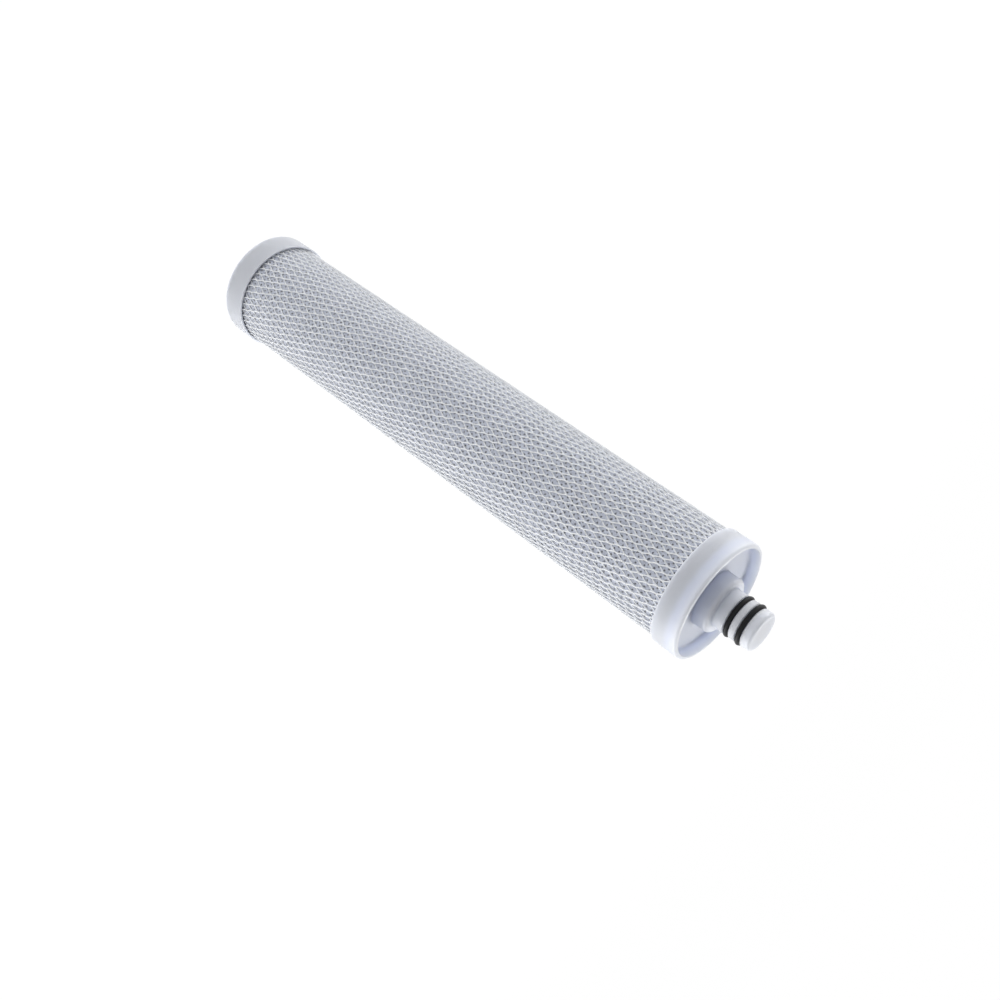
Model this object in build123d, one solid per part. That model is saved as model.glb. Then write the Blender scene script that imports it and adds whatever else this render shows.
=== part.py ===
from build123d import *
import math
import os

# Carbon filter cartridge of a water cooler, standing on its closed end.
# Millimetres, +Z up along the cartridge's axis, origin at the centre of the closed end's face.

# Carbon block
block_diameter = 57.0
block_bore = 25.4
block_length = 327.0

# Layers on the block
wrap_thickness = 0.8
lining_thickness = 0.4
layer_clearance = 0.1

# Netting: two layers of strands that cross in long diamonds and touch where they cross
net_strands = 52
net_crossings = 64
net_runs = 12
strand_width = 0.8
strand_depth = 0.28

# Glue beds between the block and its caps
glue_thickness = 1.5

# Both end caps
skirt_wall = 1.2

# Closed end cap
closed_end_wall = 2.0
closed_skirt_depth = 13.7
closed_edge_radius = 2.5

# Outlet end cap: skirt, recessed dish and boss
web_thickness = 2.2
outlet_skirt_depth = 7.2
dish_depth = 5.1
rim_width = 2.1
rim_edge_radius = 1.7
dish_draft = 0.6
dish_corner_radius = 2.0
boss_diameter = 29.0
boss_height = 8.5
boss_edge_radius = 2.0

# Outlet nozzle: closed at its tip, with a port at the back between the two O-rings
nozzle_diameter = 20.8
neck_length = 7.3
seal_spacing = 6.5
tip_length = 6.7
tip_diameter = 20.4
tip_edge_radius = 1.8
tip_wall = 2.5
passage_diameter = 11.0
port_diameter = 2.4

# O-rings and their grooves
ring_bore = 17.0
ring_cord = 2.5
groove_width = 3.2
groove_clearance = 0.05

# Radii of the layers, from the block outwards
block_radius = block_diameter / 2
wrap_inner_radius = block_radius + layer_clearance
wrap_outer_radius = wrap_inner_radius + wrap_thickness
strand_turn = 180 * net_crossings / net_strands
run_turn = strand_turn / net_runs
run_rise = 1 / math.cos(math.radians(run_turn / 2))
inner_strand_radius = wrap_outer_radius + layer_clearance
outer_strand_radius = inner_strand_radius + strand_depth
net_outer_radius = outer_strand_radius * run_rise + strand_depth
socket_radius = net_outer_radius + layer_clearance
cap_radius = socket_radius + skirt_wall
glue_radius = socket_radius - layer_clearance
lining_outer_radius = block_bore / 2 - layer_clearance
lining_inner_radius = lining_outer_radius - lining_thickness

# Heights, from the closed end upwards
block_bottom = closed_end_wall + glue_thickness
block_top = block_bottom + block_length
closed_skirt_top = closed_end_wall + closed_skirt_depth
web_bottom = block_top + glue_thickness
outlet_skirt_bottom = web_bottom - outlet_skirt_depth
dish_floor = web_bottom + web_thickness
rim_top = dish_floor + dish_depth
boss_top = dish_floor + boss_height
inner_ring_height = boss_top + neck_length
outer_ring_height = inner_ring_height + seal_spacing
tip_top = outer_ring_height + tip_length
passage_top = tip_top - tip_wall
port_height = (inner_ring_height + outer_ring_height) / 2


def turned(outline, rounded=()):
    """A solid turned about Z from a closed half-section of (radius, height) points with some corners rounded."""
    section = make_face(Polyline(*outline, close=True))
    for corner, radius in rounded:
        vertex = section.vertices().sort_by_distance(Vector(*corner))[0]
        section = fillet(vertex, radius)
    return revolve(Plane.XZ * section, Axis.Z)


def tube(inner_radius, outer_radius, bottom, top):
    """A plain round tube between two heights."""
    return turned([(inner_radius, bottom), (outer_radius, bottom), (outer_radius, top), (inner_radius, top)])


def closed_end_cap():
    """Cup over the blind end, with a softly rounded edge round the face that the cartridge stands on."""
    foot_edge = (cap_radius, 0)
    outline = [
        (0, 0),
        foot_edge,
        (cap_radius, closed_skirt_top),
        (socket_radius, closed_skirt_top),
        (socket_radius, closed_end_wall),
        (0, closed_end_wall),
    ]
    return turned(outline, [(foot_edge, closed_edge_radius)])


def groove(height):
    """Corner points of one O-ring groove in the nozzle, from its lower to its upper edge."""
    floor_radius = ring_bore / 2 - groove_clearance
    low = height - groove_width / 2
    high = height + groove_width / 2
    return [
        (nozzle_diameter / 2, low),
        (floor_radius, low),
        (floor_radius, high),
    ]


def outlet_end_cap():
    """Cup over the open end, with a dish in its face, a boss in the dish and the grooved outlet nozzle on it."""
    passage_radius = passage_diameter / 2
    boss_radius = boss_diameter / 2
    tip_radius = tip_diameter / 2
    dish_radius = cap_radius - rim_width
    rim_edge = (cap_radius, rim_top)
    dish_corner = (dish_radius - dish_draft, dish_floor)
    boss_edge = (boss_radius, boss_top)
    tip_edge = (tip_radius, tip_top)
    outline = [
        (passage_radius, web_bottom),
        (socket_radius, web_bottom),
        (socket_radius, outlet_skirt_bottom),
        (cap_radius, outlet_skirt_bottom),
        rim_edge,
        (dish_radius, rim_top),
        dish_corner,
        (boss_radius, dish_floor),
        boss_edge,
        (nozzle_diameter / 2, boss_top),
        *groove(inner_ring_height),
        (nozzle_diameter / 2, inner_ring_height + groove_width / 2),
        *groove(outer_ring_height),
        (tip_radius, outer_ring_height + groove_width / 2),
        tip_edge,
        (0, tip_top),
        (0, passage_top),
        (passage_radius, passage_top),
    ]
    rounded = [
        (rim_edge, rim_edge_radius),
        (dish_corner, dish_corner_radius),
        (boss_edge, boss_edge_radius),
        (tip_edge, tip_edge_radius),
    ]
    port = Pos(-nozzle_diameter / 2, 0, port_height) * Rot(0, 90, 0) * Cylinder(port_diameter / 2, nozzle_diameter)
    return turned(outline, rounded) - port


def o_ring(height):
    """Rubber ring of round cord, seated on the floor of its groove."""
    return Pos(0, 0, height) * Torus((ring_bore + ring_cord) / 2, ring_cord / 2)


def net_strand(hand, base_radius):
    """One strand from end to end, in straight runs that wind about Z, flat against what it lies on."""
    sections = []
    for corner in range(net_runs + 1):
        height = block_bottom + block_length * corner / net_runs
        left = Vector(base_radius * run_rise, -strand_width / 2, height)
        right = Vector(base_radius * run_rise, strand_width / 2, height)
        crest = Vector(base_radius * run_rise + strand_depth, 0, height)
        sections.append([point.rotate(Axis.Z, hand * run_turn * corner) for point in (left, right, crest)])
    facets = [sections[0], sections[-1]]
    for lower, upper in zip(sections, sections[1:]):
        for side in range(3):
            after = (side + 1) % 3
            facets.append([lower[side], lower[after], upper[after]])
            facets.append([lower[side], upper[after], upper[side]])
    return Solid(Shell([Face(Wire.make_polygon(corners)) for corners in facets]))


def netting():
    """Two layers of strands, one winding each way, the outer layer lying on the crests of the inner one."""
    strands = []
    for hand, base_radius in ((1, inner_strand_radius), (-1, outer_strand_radius)):
        strand = net_strand(hand, base_radius)
        strands += [strand.rotate(Axis.Z, 360 / net_strands * place) for place in range(net_strands)]
    return Compound(strands)


nodes = {
    "closed_end_cap": closed_end_cap(),
    "outlet_end_cap": outlet_end_cap(),
    "inner_o_ring": o_ring(inner_ring_height),
    "outer_o_ring": o_ring(outer_ring_height),
    "outer_net": netting(),
    "outer_wrap": tube(wrap_inner_radius, wrap_outer_radius, block_bottom, block_top),
    "carbon_block": tube(block_bore / 2, block_radius, block_bottom, block_top),
    "inner_wrap": tube(lining_inner_radius, lining_outer_radius, block_bottom, block_top),
    "closed_end_glue": turned([
        (0, closed_end_wall), (glue_radius, closed_end_wall), (glue_radius, block_bottom), (0, block_bottom)]),
    "outlet_end_glue": tube(block_bore / 2, glue_radius, block_top, web_bottom),
}

os.makedirs("parts", exist_ok=True)
for name, shape in nodes.items():
    export_step(shape, f"parts/{name}.step")
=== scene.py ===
"""Dresses a water cooler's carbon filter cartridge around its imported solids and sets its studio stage."""

import math

import bmesh
import bpy
from bpy.props import FloatProperty, FloatVectorProperty, IntProperty, PointerProperty
from mathutils import Matrix, Vector, noise


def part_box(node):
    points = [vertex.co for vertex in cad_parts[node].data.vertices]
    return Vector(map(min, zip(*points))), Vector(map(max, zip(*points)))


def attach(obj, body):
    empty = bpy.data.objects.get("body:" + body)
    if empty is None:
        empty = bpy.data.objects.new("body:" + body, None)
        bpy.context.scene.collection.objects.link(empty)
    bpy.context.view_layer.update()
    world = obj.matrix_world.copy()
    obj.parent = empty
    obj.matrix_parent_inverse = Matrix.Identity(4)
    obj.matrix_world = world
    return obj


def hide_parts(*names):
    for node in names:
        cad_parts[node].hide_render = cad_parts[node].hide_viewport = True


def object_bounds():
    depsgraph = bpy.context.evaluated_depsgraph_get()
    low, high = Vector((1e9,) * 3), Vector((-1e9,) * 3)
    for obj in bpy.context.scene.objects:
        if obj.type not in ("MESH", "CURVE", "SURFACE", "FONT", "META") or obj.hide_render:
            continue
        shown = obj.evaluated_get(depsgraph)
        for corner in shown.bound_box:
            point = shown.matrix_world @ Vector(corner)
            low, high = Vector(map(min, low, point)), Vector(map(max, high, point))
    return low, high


bl_info = {
    "name": "Carbon Filter Cartridge",
    "version": (1, 0, 0),
    "blender": (4, 5, 0),
    "location": "View3D > Sidebar > Cartridge",
    "description": "Builds the caps, seals, netting and felt of a carbon filter cartridge, and its stage",
    "category": "Object",
}

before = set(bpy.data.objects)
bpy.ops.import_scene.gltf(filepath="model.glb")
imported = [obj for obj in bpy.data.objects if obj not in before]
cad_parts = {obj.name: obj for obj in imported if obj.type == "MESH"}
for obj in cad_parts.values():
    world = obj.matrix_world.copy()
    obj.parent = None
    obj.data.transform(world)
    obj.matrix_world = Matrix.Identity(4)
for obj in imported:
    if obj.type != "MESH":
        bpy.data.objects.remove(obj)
CAD_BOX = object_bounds()
BODY = "root"
MM = 0.001

# Shapes turned about Z
TURN_STEPS = 192
ARC_STEPS = 7
PORT_STEPS = 32
GUARD = 0.12 * MM

# The felt's own map, from 0 to 1 across the sheet and along it
FLAT_MAP = "flat"


# Sizes taken from the frame

def outer_radius(node):
    """Radius of a node that is round about Z."""
    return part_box(node)[1].x


def bottom_of(node):
    """Height of a node's lowest point."""
    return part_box(node)[0].z


def top_of(node):
    """Height of a node's highest point."""
    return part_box(node)[1].z


def middle_of(node):
    """Height of a node's middle."""
    return (bottom_of(node) + top_of(node)) / 2


# Properties

def length(name, description, millimetres):
    """A length that the sidebar shows in the scene's units."""
    return FloatProperty(
        name=name, description=description, default=millimetres * MM, unit="LENGTH", subtype="DISTANCE", precision=5)


def share(name, description, default):
    """A plain number from 0 to 1."""
    return FloatProperty(name=name, description=description, default=default, min=0, max=1, subtype="FACTOR")


def level(name, description, default):
    """Brightness of a light, where 1 is white."""
    return FloatProperty(name=name, description=description, default=default, min=0)


def colour(name, description, default):
    """A colour of a finish."""
    return FloatVectorProperty(
        name=name, description=description, default=default, size=3, min=0, max=1, subtype="COLOR")


def place(name, description, default):
    """A point in the frame, in metres."""
    return FloatVectorProperty(
        name=name, description=description, default=default, size=3, unit="LENGTH", subtype="TRANSLATION", precision=5)


class CapSettings(bpy.types.PropertyGroup):
    """Forms of the two white mouldings that the frame's boxes don't give."""

    edge_softness: length("Edge Softness", "Radius of the small moulded edges", 0.3)
    lip_softness: length("Lip Softness", "Radius of the edge between the rim and the dish", 0.15)
    socket_clearance: length("Socket Clearance", "Gap between a skirt and the glue bed in it", 0.1)
    foot_radius: length("Foot Radius", "Rounding round the closed end's face", 2.5)
    web: length("Web", "Thickness of the outlet cap's face at the dish", 2.2)
    dish_depth: length("Dish Depth", "From the rim down to the dish's floor", 5.1)
    rim_width: length("Rim Width", "Land between the outlet cap's side and its dish", 2.1)
    rim_radius: length("Rim Radius", "Rounding of the outlet cap's outer edge", 1.7)
    dish_draft: length("Dish Draft", "How far the dish's wall leans in", 0.6)
    dish_corner: length("Dish Corner", "Rounding between the dish's wall and floor", 2.0)
    boss_radius: length("Boss Radius", "Radius of the boss in the dish", 14.5)
    boss_height: length("Boss Height", "Height of the boss over the dish's floor", 8.5)
    boss_edge: length("Boss Edge", "Rounding of the boss's shoulder", 2.0)
    nozzle_radius: length("Nozzle Radius", "Radius of the nozzle beside the seals", 10.4)
    tip_radius: length("Tip Radius", "Radius of the nozzle's tip", 10.2)
    tip_edge: length("Tip Edge", "Rounding of the nozzle's end", 1.8)
    tip_wall: length("Tip Wall", "Thickness of the nozzle's closed end", 2.5)
    passage_radius: length("Passage Radius", "Radius of the water passage", 5.5)
    port_radius: length("Port Radius", "Radius of the outlet at the back between the seals", 1.2)
    groove_width: length("Groove Width", "Width of the grooves for the seals", 3.2)
    groove_clearance: length("Groove Clearance", "Gap under a seal in its groove", 0.05)
    # Painted light: the boss's top and the nozzle get a lighter white than the skirts and dish, rising over the given
    # height, standing in for the light that falls on them
    white: colour("White", "Colour of the thin skirts and dish", (0.672, 0.708, 0.825))
    painted_light_white: colour("Painted Light White", "Colour where the plastic is thick", (0.745, 0.770, 0.835))
    painted_light_rise: length("Painted Light Rise", "Height over which the boss passes from thin to thick plastic", 6.0)


class SealSettings(bpy.types.PropertyGroup):
    """Form and colour of the two rubber rings."""

    cord_steps: IntProperty(name="Cord Steps", description="Points round a ring's section", default=32, min=12)
    flash: length("Flash", "Height of the fine moulding line round a ring", 0.04)
    flash_width: length("Flash Width", "Width of the moulding line", 0.25)
    black: colour("Black", "Colour of the rubber", (0.007, 0.007, 0.008))


class NetSettings(bpy.types.PropertyGroup):
    """Sizes of the diamond netting."""

    strands: IntProperty(name="Strands", description="Strands that wind each way", default=52, min=3)
    crossings: IntProperty(name="Crossings", description="Crossings along one strand", default=64, min=2)
    strand_width: length("Strand Width", "Width of a strand across the net", 0.70)
    strand_height: length("Strand Height", "Height of a strand over what it lies on", 0.47)
    ply_offset: length("Ply Offset", "How far each layer of strands lies from their middle", 0.235)
    pinch: share("Pinch", "How far crossing strands are drawn together along their weld", 0.45)
    opened: share("Opened", "How far the front of the net is spread at the closed end", 0.055)
    gathered: share("Gathered", "How far the front of the net is drawn together at the outlet end", 0.075)
    wander: length("Wander", "How far strands stray sideways from an even net", 0.9)
    wander_size: length("Wander Size", "Distance over which the straying changes", 24.0)
    seed: FloatProperty(name="Seed", description="Chooses the pattern of straying", default=3.0)
    white: colour("White", "Colour of the strands", (0.910, 0.940, 1.000))


class FeltSettings(bpy.types.PropertyGroup):
    """Sizes of the bonded felt that wraps and lines the carbon block."""

    wrap_thickness: length("Wrap Thickness", "Thickness of the felt round the block", 0.7)
    lining_thickness: length("Lining Thickness", "Thickness of the felt in the block's bore", 0.35)
    unevenness: length("Unevenness", "How far the felt's surface rises and falls", 0.06)
    swell_size: length("Swell Size", "Distance from one rise of the felt to the next", 9.0)
    seam_gap: length("Seam Gap", "Gap between the sheet's edges where they meet", 0.08)
    pitch_around: length("Pitch Around", "Distance between rows of bond points round the block", 3.28)
    pitch_along: length("Pitch Along", "Distance between rows of bond points along the block", 3.08)
    bond_share: share("Bond Share", "Threshold that sets the size of a bond point", 0.80)
    pale: colour("Pale", "Colour of the loose fibres", (0.700, 0.740, 0.850))
    shade: colour("Shade", "Colour between the fibres", (0.455, 0.482, 0.570))
    bond: colour("Bond", "Colour of the pressed bond points", (0.090, 0.095, 0.115))


class StageSettings(bpy.types.PropertyGroup):
    """Camera, light and floor."""

    camera_place: place("Camera Place", "Where the camera stands", (0.51454, 0.0, 0.50049))
    camera_aim: place("Camera Aim", "The point in the middle of the picture", (-0.00940, 0.02201, 0.20895))
    camera_roll: FloatProperty(
        name="Camera Roll", description="Turn of the camera about its view", default=math.radians(126.4),
        unit="ROTATION", subtype="ANGLE")
    camera_lens: FloatProperty(name="Camera Lens", description="Focal length", default=41.617, unit="CAMERA")
    room_level: level("Room Level", "Light from all around", 0.30)
    left_level: level("Left Level", "Brightness of the panel on the +Y side", 3.7)
    right_level: level("Right Level", "Brightness of the panel on the -Y side", 2.5)
    softbox_size: length("Softbox Size", "Side of a panel", 1000.0)
    softbox_distance: length("Softbox Distance", "From the cartridge to a panel", 1100.0)
    softbox_height: length("Softbox Height", "Height of a panel's middle", 150.0)
    softbox_turn: FloatProperty(
        name="Softbox Turn", description="Angle from the camera's side to a panel", default=math.radians(104.0),
        unit="ROTATION", subtype="ANGLE")
    top_level: level("Top Level", "Brightness of the panel above and behind", 5.6)
    top_size: length("Top Size", "Side of the panel above and behind", 600.0)
    top_place: place("Top Place", "Where the panel above and behind hangs", (-0.70, 0.0, 1.15))
    floor_size: length("Floor Size", "Side of the floor", 8000.0)
    floor_level: level("Floor Level", "Light that the bright floor throws back", 1.23)
    floor_white: level("Floor White", "How bright the floor looks where no shadow falls", 1.045)
    shadow: share("Shadow", "How much of the object's shadow the floor shows", 0.06)


class CartridgeSettings(bpy.types.PropertyGroup):
    """All sizes and colours of the cartridge and its stage."""

    caps: PointerProperty(type=CapSettings)
    seals: PointerProperty(type=SealSettings)
    net: PointerProperty(type=NetSettings)
    felt: PointerProperty(type=FeltSettings)
    stage: PointerProperty(type=StageSettings)


# Node trees

def add_node(tree, kind, feeds=None, **options):
    """Adds a node with its options set, and feeds its inputs with values or other nodes' outputs."""
    node = tree.nodes.new(kind)
    for option, value in options.items():
        setattr(node, option, value)
    for socket, value in (feeds or {}).items():
        if isinstance(value, bpy.types.NodeSocket):
            tree.links.new(value, node.inputs[socket])
        else:
            node.inputs[socket].default_value = value
    return node


def calc(tree, operation, first, second=0.0):
    """One step of arithmetic in a tree."""
    return add_node(tree, "ShaderNodeMath", {0: first, 1: second}, operation=operation).outputs[0]


def fit_range(tree, value, start, end, to_start, to_end, smooth=False):
    """A value moved from one range to another and held within it."""
    ease = "SMOOTHSTEP" if smooth else "LINEAR"
    feeds = {"Value": value, "From Min": start, "From Max": end, "To Min": to_start, "To Max": to_end}
    return add_node(tree, "ShaderNodeMapRange", feeds, interpolation_type=ease).outputs["Result"]


def clouds(tree, point, size, detail=2.0, roughness=0.5):
    """Soft random variation with features of about the given size in metres."""
    feeds = {"Vector": point, "Scale": 1 / size, "Detail": detail, "Roughness": roughness}
    return add_node(tree, "ShaderNodeTexNoise", feeds).outputs["Fac"]


def mixed(tree, factor, first, second):
    """A colour between two others."""
    feeds = {0: factor, 6: first, 7: second}
    return add_node(tree, "ShaderNodeMix", feeds, data_type="RGBA").outputs[2]


def shaded(tree, tone, factor):
    """A colour made lighter or darker by a factor."""
    return add_node(tree, "ShaderNodeVectorMath", {0: tone, "Scale": factor}, operation="SCALE").outputs["Vector"]


def relief(tree, height, depth, under=None):
    """A bumped normal from a height of 0 to 1 and its depth in metres."""
    feeds = {"Height": height, "Distance": depth}
    if under is not None:
        feeds["Normal"] = under
    return add_node(tree, "ShaderNodeBump", feeds).outputs["Normal"]


def opaque(shade, factor=1.0):
    """A colour as a shader socket takes it, made lighter or darker by a factor."""
    return (shade[0] * factor, shade[1] * factor, shade[2] * factor, 1.0)


def new_finish(name, constants):
    """A material with the constants of its shader set, its tree and its shader."""
    material = bpy.data.materials.new(name)
    material.use_nodes = True
    tree = material.node_tree
    shader = tree.nodes["Principled BSDF"]
    for socket, value in constants.items():
        shader.inputs[socket].default_value = value
    return material, tree, shader


def own_point(tree):
    """The object's own coordinates."""
    return add_node(tree, "ShaderNodeTexCoord").outputs["Object"]


# Finishes

def moulded_white(name, caps, painted_light_from):
    """Satin polypropylene with painted light that makes it a lighter white above a given height: faint clouding, uneven
    gloss and the mould's fine grain.
    """
    material, tree, shader = new_finish(name, {
        "IOR": 1.49,
        "Specular IOR Level": 0.4,
        "Subsurface Weight": 1.0,
        "Subsurface Radius": (1.0, 1.0, 1.0),
        "Subsurface Scale": 5.0 * MM,
    })
    point = own_point(tree)
    height = add_node(tree, "ShaderNodeSeparateXYZ", {0: point}).outputs["Z"]
    # Painted light: the white passes smoothly to a lighter white above the given height, so the boss's top and the
    # nozzle look more lit
    brightened = fit_range(tree, height, painted_light_from, painted_light_from + caps.painted_light_rise, 0.0, 1.0, smooth=True)
    white = mixed(tree, brightened, opaque(caps.white), opaque(caps.painted_light_white))
    milk = clouds(tree, point, 14 * MM, detail=3.0)
    polish = clouds(tree, point, 5 * MM, detail=4.0)
    grain = clouds(tree, point, 0.35 * MM, detail=2.0)
    ripple = clouds(tree, point, 7 * MM, detail=1.0)
    tint = shaded(tree, white, fit_range(tree, milk, 0.0, 1.0, 0.965, 1.02))
    gloss = fit_range(tree, polish, 0.3, 0.7, 0.30, 0.42)
    wavy = relief(tree, ripple, 0.06 * MM)
    tree.links.new(tint, shader.inputs["Base Color"])
    tree.links.new(gloss, shader.inputs["Roughness"])
    tree.links.new(relief(tree, grain, 0.012 * MM, wavy), shader.inputs["Normal"])
    return material


def seal_rubber(black):
    """Black rubber with a dull bloom and a fine grain."""
    material, tree, shader = new_finish("Seal Rubber", {"IOR": 1.52, "Specular IOR Level": 0.16})
    point = own_point(tree)
    bloom = clouds(tree, point, 1.6 * MM, detail=4.0)
    grain = clouds(tree, point, 0.15 * MM, detail=2.0)
    tint = mixed(tree, bloom, opaque(black, 0.7), opaque(black, 1.6))
    gloss = fit_range(tree, bloom, 0.3, 0.7, 0.38, 0.54)
    tree.links.new(tint, shader.inputs["Base Color"])
    tree.links.new(gloss, shader.inputs["Roughness"])
    tree.links.new(relief(tree, grain, 0.01 * MM), shader.inputs["Normal"])
    return material


def net_plastic(white):
    """Milky extruded strands, a little uneven in colour and gloss."""
    material, tree, shader = new_finish("Net Plastic", {
        "IOR": 1.5, "Specular IOR Level": 0.5, "Subsurface Weight": 1.0, "Subsurface Radius": (1.0, 1.0, 1.0),
        "Subsurface Scale": 0.6 * MM})
    point = own_point(tree)
    milk = clouds(tree, point, 6 * MM, detail=3.0)
    draw_marks = clouds(tree, point, 0.4 * MM, detail=2.0)
    tint = mixed(tree, milk, opaque(white, 0.93), opaque(white, 1.04))
    gloss = fit_range(tree, milk, 0.3, 0.7, 0.28, 0.42)
    tree.links.new(tint, shader.inputs["Base Color"])
    tree.links.new(gloss, shader.inputs["Roughness"])
    tree.links.new(relief(tree, draw_marks, 0.02 * MM), shader.inputs["Normal"])
    return material


def bonded_felt(name, felt, width, height):
    """Thin felt of loose fibres, pressed together at a staggered grid of bond points."""
    material, tree, shader = new_finish(name, {
        "Roughness": 0.92, "Specular IOR Level": 0.12, "Sheen Weight": 1.0, "Sheen Roughness": 0.6})
    flat = add_node(tree, "ShaderNodeUVMap", uv_map=FLAT_MAP).outputs["UV"]
    sheet = add_node(tree, "ShaderNodeMapping", {"Vector": flat, "Scale": (width, height, 0.0)}).outputs["Vector"]
    across = add_node(tree, "ShaderNodeSeparateXYZ", {0: sheet})
    stray = calc(tree, "MULTIPLY", calc(tree, "SUBTRACT", clouds(tree, sheet, 2.2 * MM), 0.5), 0.45)
    around = calc(tree, "ADD", calc(tree, "DIVIDE", across.outputs["X"], felt.pitch_around), stray)
    along = calc(tree, "SUBTRACT", calc(tree, "DIVIDE", across.outputs["Y"], felt.pitch_along), stray)
    rising = calc(tree, "COSINE", calc(tree, "MULTIPLY", calc(tree, "ADD", around, along), math.pi))
    falling = calc(tree, "COSINE", calc(tree, "MULTIPLY", calc(tree, "SUBTRACT", around, along), math.pi))
    grid = calc(tree, "ABSOLUTE", calc(tree, "MULTIPLY", rising, falling))
    ragged = calc(tree, "MULTIPLY", calc(tree, "SUBTRACT", clouds(tree, sheet, 0.6 * MM, 3.0), 0.5), 0.5)
    dot = calc(tree, "ADD", grid, ragged)
    pressed = fit_range(tree, dot, felt.bond_share - 0.1, felt.bond_share + 0.1, 0.0, 1.0, smooth=True)

    fibres = clouds(tree, sheet, 0.7 * MM, detail=5.0, roughness=0.65)
    bunches = clouds(tree, sheet, 2.5 * MM, detail=3.0)
    fluff = calc(tree, "ADD", calc(tree, "MULTIPLY", fibres, 0.6), calc(tree, "MULTIPLY", bunches, 0.4))
    loose = mixed(tree, fit_range(tree, fluff, 0.41, 0.59, 0.0, 1.0), opaque(felt.shade), opaque(felt.pale))
    tree.links.new(mixed(tree, pressed, loose, opaque(felt.bond)), shader.inputs["Base Color"])
    nap = relief(tree, fibres, 0.12 * MM)
    dents = calc(tree, "SUBTRACT", 1.0, pressed)
    tree.links.new(relief(tree, dents, 0.18 * MM, nap), shader.inputs["Normal"])
    return material


def pressed_carbon():
    """Black carbon grains bound into a block."""
    material, tree, shader = new_finish("Pressed Carbon", {"Specular IOR Level": 0.25})
    point = own_point(tree)
    grains = add_node(tree, "ShaderNodeTexVoronoi", {"Vector": point, "Scale": 1 / (0.7 * MM)})
    dust = clouds(tree, point, 3 * MM, detail=4.0)
    tint = mixed(tree, dust, (0.008, 0.008, 0.009, 1.0), (0.035, 0.034, 0.033, 1.0))
    gloss = fit_range(tree, grains.outputs["Distance"], 0.0, 0.8, 0.55, 0.95)
    tree.links.new(tint, shader.inputs["Base Color"])
    tree.links.new(gloss, shader.inputs["Roughness"])
    tree.links.new(relief(tree, grains.outputs["Distance"], 0.25 * MM), shader.inputs["Normal"])
    return material


def hot_melt():
    """Milky glue that set in a soft bead."""
    material, tree, shader = new_finish("Hot Melt Glue", {"IOR": 1.48, "Subsurface Weight": 0.3})
    point = own_point(tree)
    milk = clouds(tree, point, 4 * MM, detail=3.0)
    flow = clouds(tree, point, 2 * MM, detail=2.0)
    tint = mixed(tree, milk, (0.66, 0.60, 0.46, 1.0), (0.78, 0.74, 0.62, 1.0))
    gloss = fit_range(tree, flow, 0.3, 0.7, 0.22, 0.38)
    tree.links.new(tint, shader.inputs["Base Color"])
    tree.links.new(gloss, shader.inputs["Roughness"])
    tree.links.new(relief(tree, flow, 0.15 * MM), shader.inputs["Normal"])
    return material


# Shapes turned about Z

def soft_outline(corners, closed):
    """Points of a half-section whose (radius, height, rounding) corners become arcs, with guards beside them."""
    points = []
    count = len(corners)
    for index, (radius, height, rounding) in enumerate(corners):
        corner = Vector((radius, height))
        if rounding == 0 or (not closed and index in (0, count - 1)):
            points.append(corner)
            continue
        before = Vector(corners[index - 1][:2]) - corner
        after = Vector(corners[(index + 1) % count][:2]) - corner
        before.normalize()
        after.normalize()
        half = before.angle(after) / 2
        reach = rounding / math.tan(half)
        centre = corner + (before + after).normalized() * (rounding / math.sin(half))
        start = corner + before * reach - centre
        sweep = start.angle_signed(corner + after * reach - centre)
        points.append(corner + before * (reach + GUARD))
        for step in range(ARC_STEPS + 1):
            arm = Matrix.Rotation(-sweep * step / ARC_STEPS, 2) @ start
            points.append(centre + arm)
        points.append(corner + after * (reach + GUARD))
    return points


def turned_mesh(name, outline, closed):
    """A smooth mesh turned about Z; an outline that isn't closed starts and ends on the axis."""
    turns = [math.tau * step / TURN_STEPS for step in range(TURN_STEPS)]
    shape = bmesh.new()
    rings = []
    for radius, height in outline:
        if radius == 0:
            rings.append([shape.verts.new((0, 0, height))])
        else:
            rings.append([shape.verts.new((radius * math.cos(t), radius * math.sin(t), height)) for t in turns])
    pairs = list(zip(rings, rings[1:]))
    if closed:
        pairs.append((rings[-1], rings[0]))
    for lower, upper in pairs:
        for step in range(TURN_STEPS):
            after = (step + 1) % TURN_STEPS
            corners = [ring[turn % len(ring)] for ring, turn in (
                (lower, step), (lower, after), (upper, after), (upper, step))]
            shape.faces.new(list(dict.fromkeys(corners)))
    bmesh.ops.recalc_face_normals(shape, faces=shape.faces)
    for face in shape.faces:
        face.smooth = True
    mesh = bpy.data.meshes.new(name)
    shape.to_mesh(mesh)
    shape.free()
    return mesh


# Placing

def new_object(name, mesh):
    """An object at the origin, in the scene."""
    made = bpy.data.objects.new(name, mesh)
    bpy.context.collection.objects.link(made)
    return made


def dress(piece, material, node):
    """Gives a finished piece its material, hangs it on the body and hides the solid it stands for."""
    piece.data.materials.clear()
    piece.data.materials.append(material)
    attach(piece, BODY)
    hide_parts(node)


def settle(piece):
    """Turns a piece with modifiers into a plain mesh."""
    graph = bpy.context.evaluated_depsgraph_get()
    mesh = bpy.data.meshes.new_from_object(piece.evaluated_get(graph))
    piece.modifiers.clear()
    piece.data = mesh
    mesh.name = piece.name


# Caps

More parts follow.
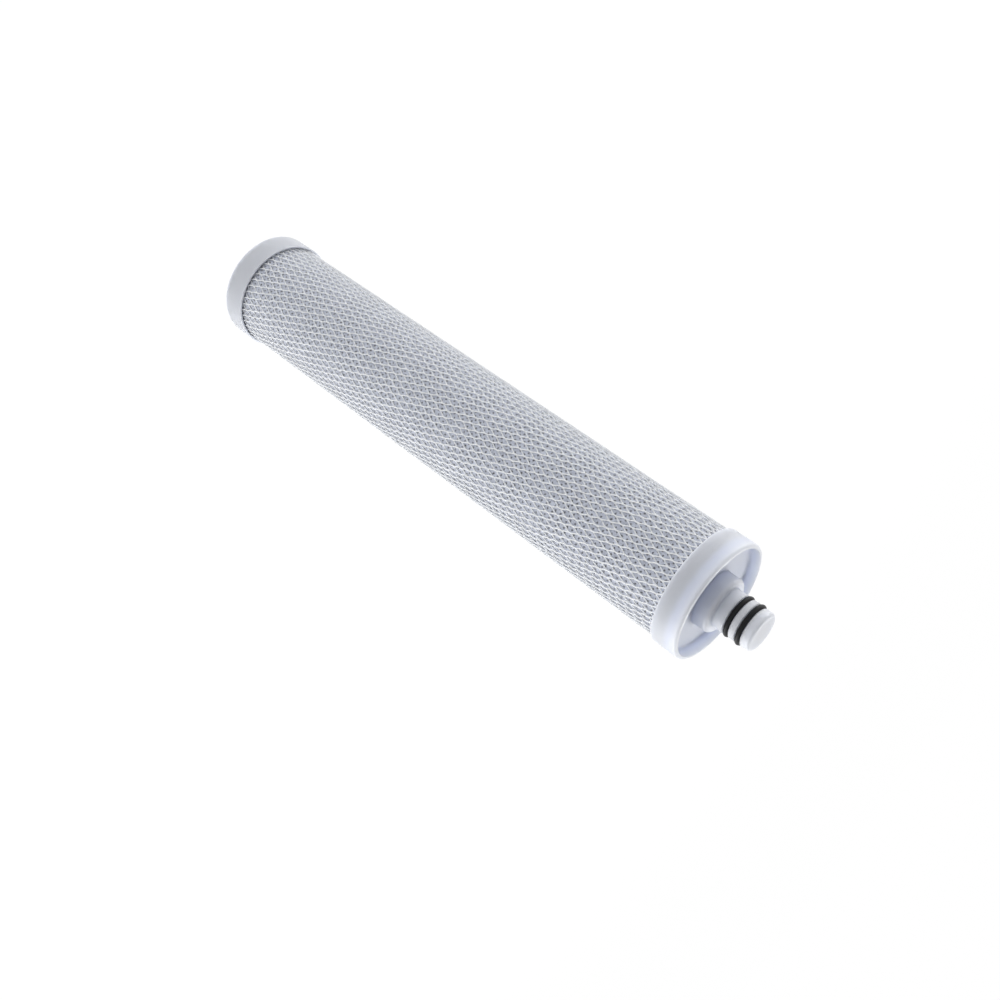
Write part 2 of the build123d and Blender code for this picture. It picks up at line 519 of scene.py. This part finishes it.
class CARTRIDGE_OT_closed_cap(bpy.types.Operator):
    """Mould the plain cap that closes the end the cartridge stands on"""

    bl_idname = "cartridge.closed_cap"
    bl_label = "Closed End Cap"

    def execute(self, context):
        caps = context.scene.cartridge.caps
        side = outer_radius("closed_end_cap")
        socket = outer_radius("closed_end_glue") + caps.socket_clearance
        floor = bottom_of("closed_end_glue")
        lip = top_of("closed_end_cap")
        outline = soft_outline([
            (0, 0, 0),
            (side, 0, caps.foot_radius),
            (side, lip, caps.edge_softness),
            (socket, lip, caps.edge_softness),
            (socket, floor, caps.edge_softness),
            (0, floor, 0),
        ], closed=False)
        cap = new_object("closed_cap_moulding", turned_mesh("closed_cap_moulding", outline, closed=False))
        # The painted lighter white would begin at the lip, so none of it shows on this cap
        dress(cap, moulded_white("Closed Cap White", caps, lip), "closed_end_cap")
        return {"FINISHED"}


def groove_corners(caps, node):
    """The corners of one seal's groove, from its lower to its upper edge."""
    floor = outer_radius(node) - (top_of(node) - bottom_of(node)) - caps.groove_clearance
    low = middle_of(node) - caps.groove_width / 2
    high = middle_of(node) + caps.groove_width / 2
    return low, high, floor


def drill_back(piece, height, radius, reach):
    """Cuts a round hole into a piece from its back, along X as far as the axis."""
    placing = Matrix.Translation((-reach, 0, height)) @ Matrix.Rotation(math.pi / 2, 4, "Y")
    shape = bmesh.new()
    bmesh.ops.create_cone(
        shape, cap_ends=True, segments=PORT_STEPS, radius1=radius, radius2=radius, depth=2 * reach, matrix=placing)
    mesh = bpy.data.meshes.new("drill")
    shape.to_mesh(mesh)
    shape.free()
    drill = new_object("drill", mesh)
    cut = piece.modifiers.new("Port", "BOOLEAN")
    cut.operation = "DIFFERENCE"
    cut.object = drill
    settle(piece)
    bpy.data.objects.remove(drill)


class CARTRIDGE_OT_outlet_cap(bpy.types.Operator):
    """Mould the cap with the dish, the boss and the grooved outlet nozzle"""

    bl_idname = "cartridge.outlet_cap"
    bl_label = "Outlet End Cap"

    def execute(self, context):
        caps = context.scene.cartridge.caps
        soft = caps.edge_softness
        side = outer_radius("outlet_end_cap")
        socket = outer_radius("outlet_end_glue") + caps.socket_clearance
        lip = bottom_of("outlet_end_cap")
        tip = top_of("outlet_end_cap")
        web = top_of("outlet_end_glue")
        floor = web + caps.web
        rim = floor + caps.dish_depth
        boss = floor + caps.boss_height
        dish = side - caps.rim_width
        corners = [
            (0, tip - caps.tip_wall, 0),
            (caps.passage_radius, tip - caps.tip_wall, soft),
            (caps.passage_radius, web, soft),
            (socket, web, soft),
            (socket, lip, soft),
            (side, lip, soft),
            (side, rim, caps.rim_radius),
            (dish, rim, caps.lip_softness),
            (dish - caps.dish_draft, floor, caps.dish_corner),
            (caps.boss_radius, floor, soft),
            (caps.boss_radius, boss, caps.boss_edge),
            (caps.nozzle_radius, boss, soft),
        ]
        shoulders = ((caps.nozzle_radius, caps.nozzle_radius), (caps.nozzle_radius, caps.tip_radius))
        for node, (below, above) in zip(("inner_o_ring", "outer_o_ring"), shoulders):
            low, high, groove_floor = groove_corners(caps, node)
            corners += [(below, low, soft), (groove_floor, low, soft), (groove_floor, high, soft), (above, high, soft)]
        corners += [
            (caps.tip_radius, tip, caps.tip_edge),
            (0, tip, 0),
        ]
        mesh = turned_mesh("outlet_cap_moulding", soft_outline(corners, closed=False), closed=False)
        cap = new_object("outlet_cap_moulding", mesh)
        between_seals = (middle_of("inner_o_ring") + middle_of("outer_o_ring")) / 2
        drill_back(cap, between_seals, caps.port_radius, caps.nozzle_radius)
        # Painted light: the white turns lighter from the dish's floor up over the boss and nozzle
        dress(cap, moulded_white("Outlet Cap White", caps, floor), "outlet_end_cap")
        return {"FINISHED"}


# Seals

class CARTRIDGE_OT_seals(bpy.types.Operator):
    """Mould the two rubber rings with the fine line that their mould leaves"""

    bl_idname = "cartridge.seals"
    bl_label = "Rubber Seals"

    def execute(self, context):
        seals = context.scene.cartridge.seals
        rubber = seal_rubber(seals.black)
        for name, node in (("inner_seal", "inner_o_ring"), ("outer_seal", "outer_o_ring")):
            cord = (top_of(node) - bottom_of(node)) / 2
            centre = outer_radius(node) - cord
            outline = []
            for step in range(seals.cord_steps):
                turn = math.tau * step / seals.cord_steps
                from_equator = cord * math.sin(turn)
                ridge = seals.flash * math.exp(-((from_equator / (seals.flash_width / 2)) ** 2))
                reach = cord + ridge - seals.flash
                outline.append((centre + reach * math.cos(turn), middle_of(node) + reach * math.sin(turn)))
            ring = new_object(name, turned_mesh(name, outline, closed=True))
            dress(ring, rubber, node)
        return {"FINISHED"}


# Netting

def net_inputs(tree):
    kinds = {
        "Strands": "NodeSocketInt",
        "Crossings": "NodeSocketInt",
        "Radius": "NodeSocketFloat",
        "Ply Offset": "NodeSocketFloat",
        "Bottom": "NodeSocketFloat",
        "Length": "NodeSocketFloat",
        "Strand Width": "NodeSocketFloat",
        "Strand Height": "NodeSocketFloat",
        "Pinch": "NodeSocketFloat",
        "Opened": "NodeSocketFloat",
        "Gathered": "NodeSocketFloat",
        "Wander": "NodeSocketFloat",
        "Wander Size": "NodeSocketFloat",
        "Seed": "NodeSocketFloat",
        "Material": "NodeSocketMaterial",
    }
    for name, kind in kinds.items():
        tree.interface.new_socket(name=name, in_out="INPUT", socket_type=kind)
    tree.interface.new_socket(name="Geometry", in_out="OUTPUT", socket_type="NodeSocketGeometry")


def net_layer(tree, given, hand):
    """Strands that wind one way about Z, with a point before and a point after each weld to the other layer."""
    halves = calc(tree, "MULTIPLY", given["Crossings"], 2.0)
    steps = calc(tree, "ADD", halves, 2.0)
    line = add_node(tree, "GeometryNodeCurvePrimitiveLine", {"Start": (0, 0, 0), "End": (0, 0, 1)})
    fine = add_node(tree, "GeometryNodeResampleCurve", {"Curve": line.outputs["Curve"], "Count": steps}, mode="COUNT")
    strands = add_node(
        tree, "GeometryNodeDuplicateElements",
        {"Geometry": fine.outputs["Curve"], "Amount": given["Strands"]}, domain="SPLINE")
    index = add_node(tree, "GeometryNodeSplineParameter").outputs["Index"]
    between = calc(tree, "DIVIDE", calc(tree, "SUBTRACT", index, 0.5), halves)
    part = add_node(tree, "ShaderNodeClamp", {"Value": between}).outputs["Result"]

    # The even net
    first = calc(tree, "DIVIDE", calc(tree, "MULTIPLY", strands.outputs["Duplicate Index"], math.tau), given["Strands"])
    winding = calc(tree, "DIVIDE", calc(tree, "MULTIPLY", given["Crossings"], hand * math.pi), given["Strands"])
    even = calc(tree, "ADD", first, calc(tree, "MULTIPLY", winding, part))
    height = calc(tree, "ADD", given["Bottom"], calc(tree, "MULTIPLY", given["Length"], part))

    # The front is spread at the closed end and drawn together at the outlet end
    change = calc(tree, "ADD", given["Opened"], given["Gathered"])
    drawn = calc(tree, "SUBTRACT", calc(tree, "MULTIPLY", change, part), given["Opened"])
    pulled = calc(tree, "SUBTRACT", even, calc(tree, "MULTIPLY", drawn, calc(tree, "SINE", even)))

    # A strand runs straighter along a weld and leans more from one weld to the next
    after = calc(tree, "MODULO", index, 2.0)
    side = calc(tree, "SUBTRACT", 1.0, calc(tree, "MULTIPLY", after, 2.0))
    lean = calc(tree, "DIVIDE", calc(tree, "MULTIPLY", given["Pinch"], hand * math.pi / 4), given["Strands"])
    pinched = calc(tree, "ADD", pulled, calc(tree, "MULTIPLY", side, lean))

    # Both layers stray alike, so their crossings stay in step
    ideal = add_node(tree, "ShaderNodeCombineXYZ", {
        "X": calc(tree, "MULTIPLY", given["Radius"], calc(tree, "COSINE", even)),
        "Y": calc(tree, "MULTIPLY", given["Radius"], calc(tree, "SINE", even)),
        "Z": height,
    })
    field = add_node(tree, "ShaderNodeTexNoise", {
        "Vector": ideal.outputs["Vector"],
        "W": given["Seed"],
        "Scale": calc(tree, "DIVIDE", 1.0, given["Wander Size"]),
        "Detail": 2.0,
    }, noise_dimensions="4D")
    sideways = calc(tree, "MULTIPLY", calc(tree, "SUBTRACT", field.outputs["Fac"], 0.5), given["Wander"])
    angle = calc(tree, "ADD", pinched, calc(tree, "DIVIDE", sideways, given["Radius"]))
    radius = calc(tree, "SUBTRACT", given["Radius"], calc(tree, "MULTIPLY", given["Ply Offset"], hand))
    position = add_node(tree, "ShaderNodeCombineXYZ", {
        "X": calc(tree, "MULTIPLY", radius, calc(tree, "COSINE", angle)),
        "Y": calc(tree, "MULTIPLY", radius, calc(tree, "SINE", angle)),
        "Z": height,
    })
    wound = add_node(tree, "GeometryNodeSetPosition", {
        "Geometry": strands.outputs["Geometry"], "Position": position.outputs["Vector"]})

    # An oval section that lies flat on the cylinder
    upright = add_node(
        tree, "GeometryNodeSetCurveNormal", {"Curve": wound.outputs["Geometry"]}, mode="Z_UP")
    circle = add_node(tree, "GeometryNodeCurvePrimitiveCircle", {"Resolution": 6, "Radius": 0.5}, mode="RADIUS")
    oval = add_node(tree, "ShaderNodeCombineXYZ", {"X": given["Strand Height"], "Y": given["Strand Width"], "Z": 1.0})
    section = add_node(tree, "GeometryNodeTransform", {
        "Geometry": circle.outputs["Curve"], "Scale": oval.outputs["Vector"]})
    tube = add_node(tree, "GeometryNodeCurveToMesh", {
        "Curve": upright.outputs["Curve"],
        "Profile Curve": section.outputs["Geometry"],
        "Fill Caps": True,
    })
    return tube.outputs["Mesh"]


def net_tree():
    """Geometry nodes that weave the two layers of strands."""
    tree = bpy.data.node_groups.new("Diamond Netting", "GeometryNodeTree")
    net_inputs(tree)
    given = add_node(tree, "NodeGroupInput").outputs
    both = add_node(tree, "GeometryNodeJoinGeometry")
    for hand in (1, -1):
        tree.links.new(net_layer(tree, given, hand), both.inputs["Geometry"])
    smooth = add_node(tree, "GeometryNodeSetShadeSmooth", {"Geometry": both.outputs["Geometry"]})
    real = add_node(tree, "GeometryNodeRealizeInstances", {"Geometry": smooth.outputs["Geometry"]})
    finished = add_node(tree, "GeometryNodeSetMaterial", {
        "Geometry": real.outputs["Geometry"], "Material": given["Material"]})
    add_node(tree, "NodeGroupOutput", {"Geometry": finished.outputs["Geometry"]})
    return tree


class CARTRIDGE_OT_netting(bpy.types.Operator):
    """Weave the sleeve of diamond netting whose ends are held in the caps"""

    bl_idname = "cartridge.netting"
    bl_label = "Netting"

    def execute(self, context):
        net = context.scene.cartridge.net
        plastic = net_plastic(net.white)
        wrap = outer_radius("outer_wrap")
        bottom = bottom_of("outer_net")
        values = {
            "Strands": net.strands,
            "Crossings": net.crossings,
            "Radius": wrap + net.ply_offset + net.strand_height / 2,
            "Ply Offset": net.ply_offset,
            "Bottom": bottom,
            "Length": top_of("outer_net") - bottom,
            "Strand Width": net.strand_width,
            "Strand Height": net.strand_height,
            "Pinch": net.pinch,
            "Opened": net.opened,
            "Gathered": net.gathered,
            "Wander": net.wander,
            "Wander Size": net.wander_size,
            "Seed": net.seed,
            "Material": plastic,
        }
        sleeve = new_object("netting_sleeve", bpy.data.meshes.new("netting_sleeve"))
        weave = sleeve.modifiers.new("Netting", "NODES")
        weave.node_group = net_tree()
        for item in weave.node_group.interface.items_tree:
            if item.in_out == "INPUT":
                weave[item.identifier] = values[item.name]
        settle(sleeve)
        dress(sleeve, plastic, "outer_net")
        return {"FINISHED"}


# Felt

def rolled_sheet(name, felt, node, thickness):
    """A sheet rolled once about Z until its edges all but meet at the back, in the space of its solid."""
    columns = 144
    rows = 120
    radius = outer_radius(node)
    bottom = bottom_of(node)
    tall = top_of(node) - bottom
    half_turn = math.pi - felt.seam_gap / 2 / radius
    shape = bmesh.new()
    flat = shape.loops.layers.uv.new(FLAT_MAP)
    grid = []
    for row in range(rows + 1):
        ring = []
        for column in range(columns + 1):
            angle = half_turn * (2 * column / columns - 1)
            height = bottom + tall * row / rows
            spot = Vector((radius * math.cos(angle), radius * math.sin(angle), height))
            sunk = felt.unevenness * (0.5 + 0.5 * noise.noise(spot / felt.swell_size))
            reach = radius - sunk
            ring.append(shape.verts.new((reach * math.cos(angle), reach * math.sin(angle), height)))
        grid.append(ring)
    for row in range(rows):
        for column in range(columns):
            corners = ((row, column), (row, column + 1), (row + 1, column + 1), (row + 1, column))
            face = shape.faces.new([grid[up][on] for up, on in corners])
            face.smooth = True
            for loop, (up, on) in zip(face.loops, corners):
                loop[flat].uv = (on / columns, up / rows)
    mesh = bpy.data.meshes.new(name)
    shape.to_mesh(mesh)
    shape.free()
    sheet = new_object(name, mesh)
    wall = sheet.modifiers.new("Thickness", "SOLIDIFY")
    wall.thickness = thickness
    wall.offset = -1
    settle(sheet)
    width = 2 * half_turn * (radius - thickness / 2)
    return sheet, (width, tall)


class CARTRIDGE_OT_felt_wrap(bpy.types.Operator):
    """Roll the bonded felt round the carbon block"""

    bl_idname = "cartridge.felt_wrap"
    bl_label = "Felt Wrap"

    def execute(self, context):
        felt = context.scene.cartridge.felt
        wrap, flat = rolled_sheet("felt_wrap", felt, "outer_wrap", felt.wrap_thickness)
        dress(wrap, bonded_felt("Wrap Felt", felt, *flat), "outer_wrap")
        return {"FINISHED"}


class CARTRIDGE_OT_felt_lining(bpy.types.Operator):
    """Roll the thinner felt that lines the carbon block's bore"""

    bl_idname = "cartridge.felt_lining"
    bl_label = "Felt Lining"

    def execute(self, context):
        felt = context.scene.cartridge.felt
        lining, flat = rolled_sheet("felt_lining", felt, "inner_wrap", felt.lining_thickness)
        dress(lining, bonded_felt("Lining Felt", felt, *flat), "inner_wrap")
        return {"FINISHED"}


# Core

class CARTRIDGE_OT_core(bpy.types.Operator):
    """Give the carbon block and the glue beds their finishes"""

    bl_idname = "cartridge.core"
    bl_label = "Carbon And Glue"

    def execute(self, context):
        glue = hot_melt()
        finishes = {
            "carbon_block": pressed_carbon(),
            "closed_end_glue": glue,
            "outlet_end_glue": glue,
        }
        for node, material in finishes.items():
            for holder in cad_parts[node].material_slots:
                holder.material = material
        return {"FINISHED"}


# Stage

def seen_directly(tree):
    """One for the rays that show a surface to the camera, also by reflection or through clear things."""
    rays = add_node(tree, "ShaderNodeLightPath").outputs
    mirrored = calc(tree, "MAXIMUM", rays["Is Glossy Ray"], rays["Is Transmission Ray"])
    return calc(tree, "MAXIMUM", rays["Is Camera Ray"], mirrored)


def white_floor(stage):
    """A floor that looks white, keeps a faint shadow and throws back a softer light."""
    material = bpy.data.materials.new("White Floor")
    material.use_nodes = True
    tree = material.node_tree
    tree.nodes.clear()
    thrown = add_node(tree, "ShaderNodeEmission", {"Color": (1.0, 1.0, 1.0, 1.0), "Strength": stage.floor_level})
    lit = add_node(tree, "ShaderNodeBsdfDiffuse", {"Color": (0.9, 0.9, 0.9, 1.0)})
    white = add_node(tree, "ShaderNodeEmission", {"Color": (1.0, 1.0, 1.0, 1.0), "Strength": stage.floor_white})
    shown = add_node(tree, "ShaderNodeMixShader", {
        0: stage.shadow, 1: white.outputs["Emission"], 2: lit.outputs["BSDF"]})
    both = add_node(tree, "ShaderNodeMixShader", {
        0: seen_directly(tree), 1: thrown.outputs["Emission"], 2: shown.outputs["Shader"]})
    add_node(tree, "ShaderNodeOutputMaterial", {"Surface": both.outputs["Shader"]})
    return material


def white_room(stage):
    """A room that looks white and lights the object evenly."""
    world = bpy.data.worlds.new("White Room")
    world.use_nodes = True
    tree = world.node_tree
    tree.nodes.clear()
    light = add_node(tree, "ShaderNodeBackground", {"Color": (1.0, 1.0, 1.0, 1.0), "Strength": stage.room_level})
    white = add_node(tree, "ShaderNodeBackground", {"Color": (1.0, 1.0, 1.0, 1.0), "Strength": 1.0})
    both = add_node(tree, "ShaderNodeMixShader", {
        0: seen_directly(tree), 1: light.outputs["Background"], 2: white.outputs["Background"]})
    add_node(tree, "ShaderNodeOutputWorld", {"Surface": both.outputs["Shader"]})
    return world


def aimed(spot, target, roll=0.0):
    """A placing at a spot that looks at a target, turned about its view by a roll."""
    look = (target - spot).to_track_quat("-Z", "Y").to_matrix().to_4x4()
    return Matrix.Translation(spot) @ look @ Matrix.Rotation(roll, 4, "Z")


def panel(name, spot, target, size, brightness):
    """A square panel of light that the camera doesn't see, facing a target."""
    light = bpy.data.lights.new(name, "AREA")
    light.shape = "SQUARE"
    light.size = size
    light.energy = brightness * math.pi * size * size
    holder = new_object(name, light)
    holder.matrix_world = aimed(spot, target)
    holder.visible_camera = False


class CARTRIDGE_OT_stage(bpy.types.Operator):
    """Set the white floor, the soft light and the camera"""

    bl_idname = "cartridge.stage"
    bl_label = "Stage"

    def execute(self, context):
        scene = context.scene
        stage = scene.cartridge.stage
        half = stage.floor_size / 2
        mesh = bpy.data.meshes.new("studio_floor")
        mesh.from_pydata([(-half, -half, 0), (half, -half, 0), (half, half, 0), (-half, half, 0)], [], [(0, 1, 2, 3)])
        mesh.materials.append(white_floor(stage))
        new_object("studio_floor", mesh)
        scene.world = white_room(stage)
        middle = Vector((0, 0, (CAD_BOX[0].z + CAD_BOX[1].z) / 2))
        away = stage.softbox_distance
        for name, side, brightness in (("left_softbox", 1, stage.left_level), ("right_softbox", -1, stage.right_level)):
            turn = side * stage.softbox_turn
            spot = Vector((away * math.cos(turn), away * math.sin(turn), stage.softbox_height))
            panel(name, spot, middle, stage.softbox_size, brightness)
        outlet = Vector((0, 0, CAD_BOX[1].z))
        panel("top_softbox", Vector(stage.top_place), outlet, stage.top_size, stage.top_level)

        lens = bpy.data.cameras.new("camera")
        lens.lens = stage.camera_lens
        lens.sensor_width = 36.0
        lens.clip_start = 0.01
        camera = new_object("camera", lens)
        camera.matrix_world = aimed(Vector(stage.camera_place), Vector(stage.camera_aim), stage.camera_roll)
        scene.camera = camera
        scene.view_settings.view_transform = "Standard"
        return {"FINISHED"}


# Sidebar

PIECES = (
    CARTRIDGE_OT_closed_cap,
    CARTRIDGE_OT_outlet_cap,
    CARTRIDGE_OT_seals,
    CARTRIDGE_OT_netting,
    CARTRIDGE_OT_felt_wrap,
    CARTRIDGE_OT_felt_lining,
    CARTRIDGE_OT_core,
    CARTRIDGE_OT_stage,
)


class CARTRIDGE_PT_sidebar(bpy.types.Panel):
    """Lists the cartridge's pieces and their sizes"""

    bl_idname = "CARTRIDGE_PT_sidebar"
    bl_label = "Carbon Filter Cartridge"
    bl_space_type = "VIEW_3D"
    bl_region_type = "UI"
    bl_category = "Cartridge"

    def draw(self, context):
        settings = context.scene.cartridge
        for piece in PIECES:
            self.layout.operator(piece.bl_idname)
        for group in (settings.caps, settings.seals, settings.net, settings.felt, settings.stage):
            box = self.layout.box()
            for name in group.__annotations__:
                box.prop(group, name)


CLASSES = (
    CapSettings,
    SealSettings,
    NetSettings,
    FeltSettings,
    StageSettings,
    CartridgeSettings,
    *PIECES,
    CARTRIDGE_PT_sidebar,
)


def register():
    """Adds the classes and the scene's settings."""
    for item in CLASSES:
        bpy.utils.register_class(item)
    bpy.types.Scene.cartridge = PointerProperty(type=CartridgeSettings)


def unregister():
    """Takes the settings and the classes away again."""
    del bpy.types.Scene.cartridge
    for item in reversed(CLASSES):
        bpy.utils.unregister_class(item)


def main():
    """Registers the add-on and builds every piece and the stage."""
    register()
    for piece in PIECES:
        group, name = piece.bl_idname.split(".")
        getattr(getattr(bpy.ops, group), name)()


if __name__ == "__main__":
    main()
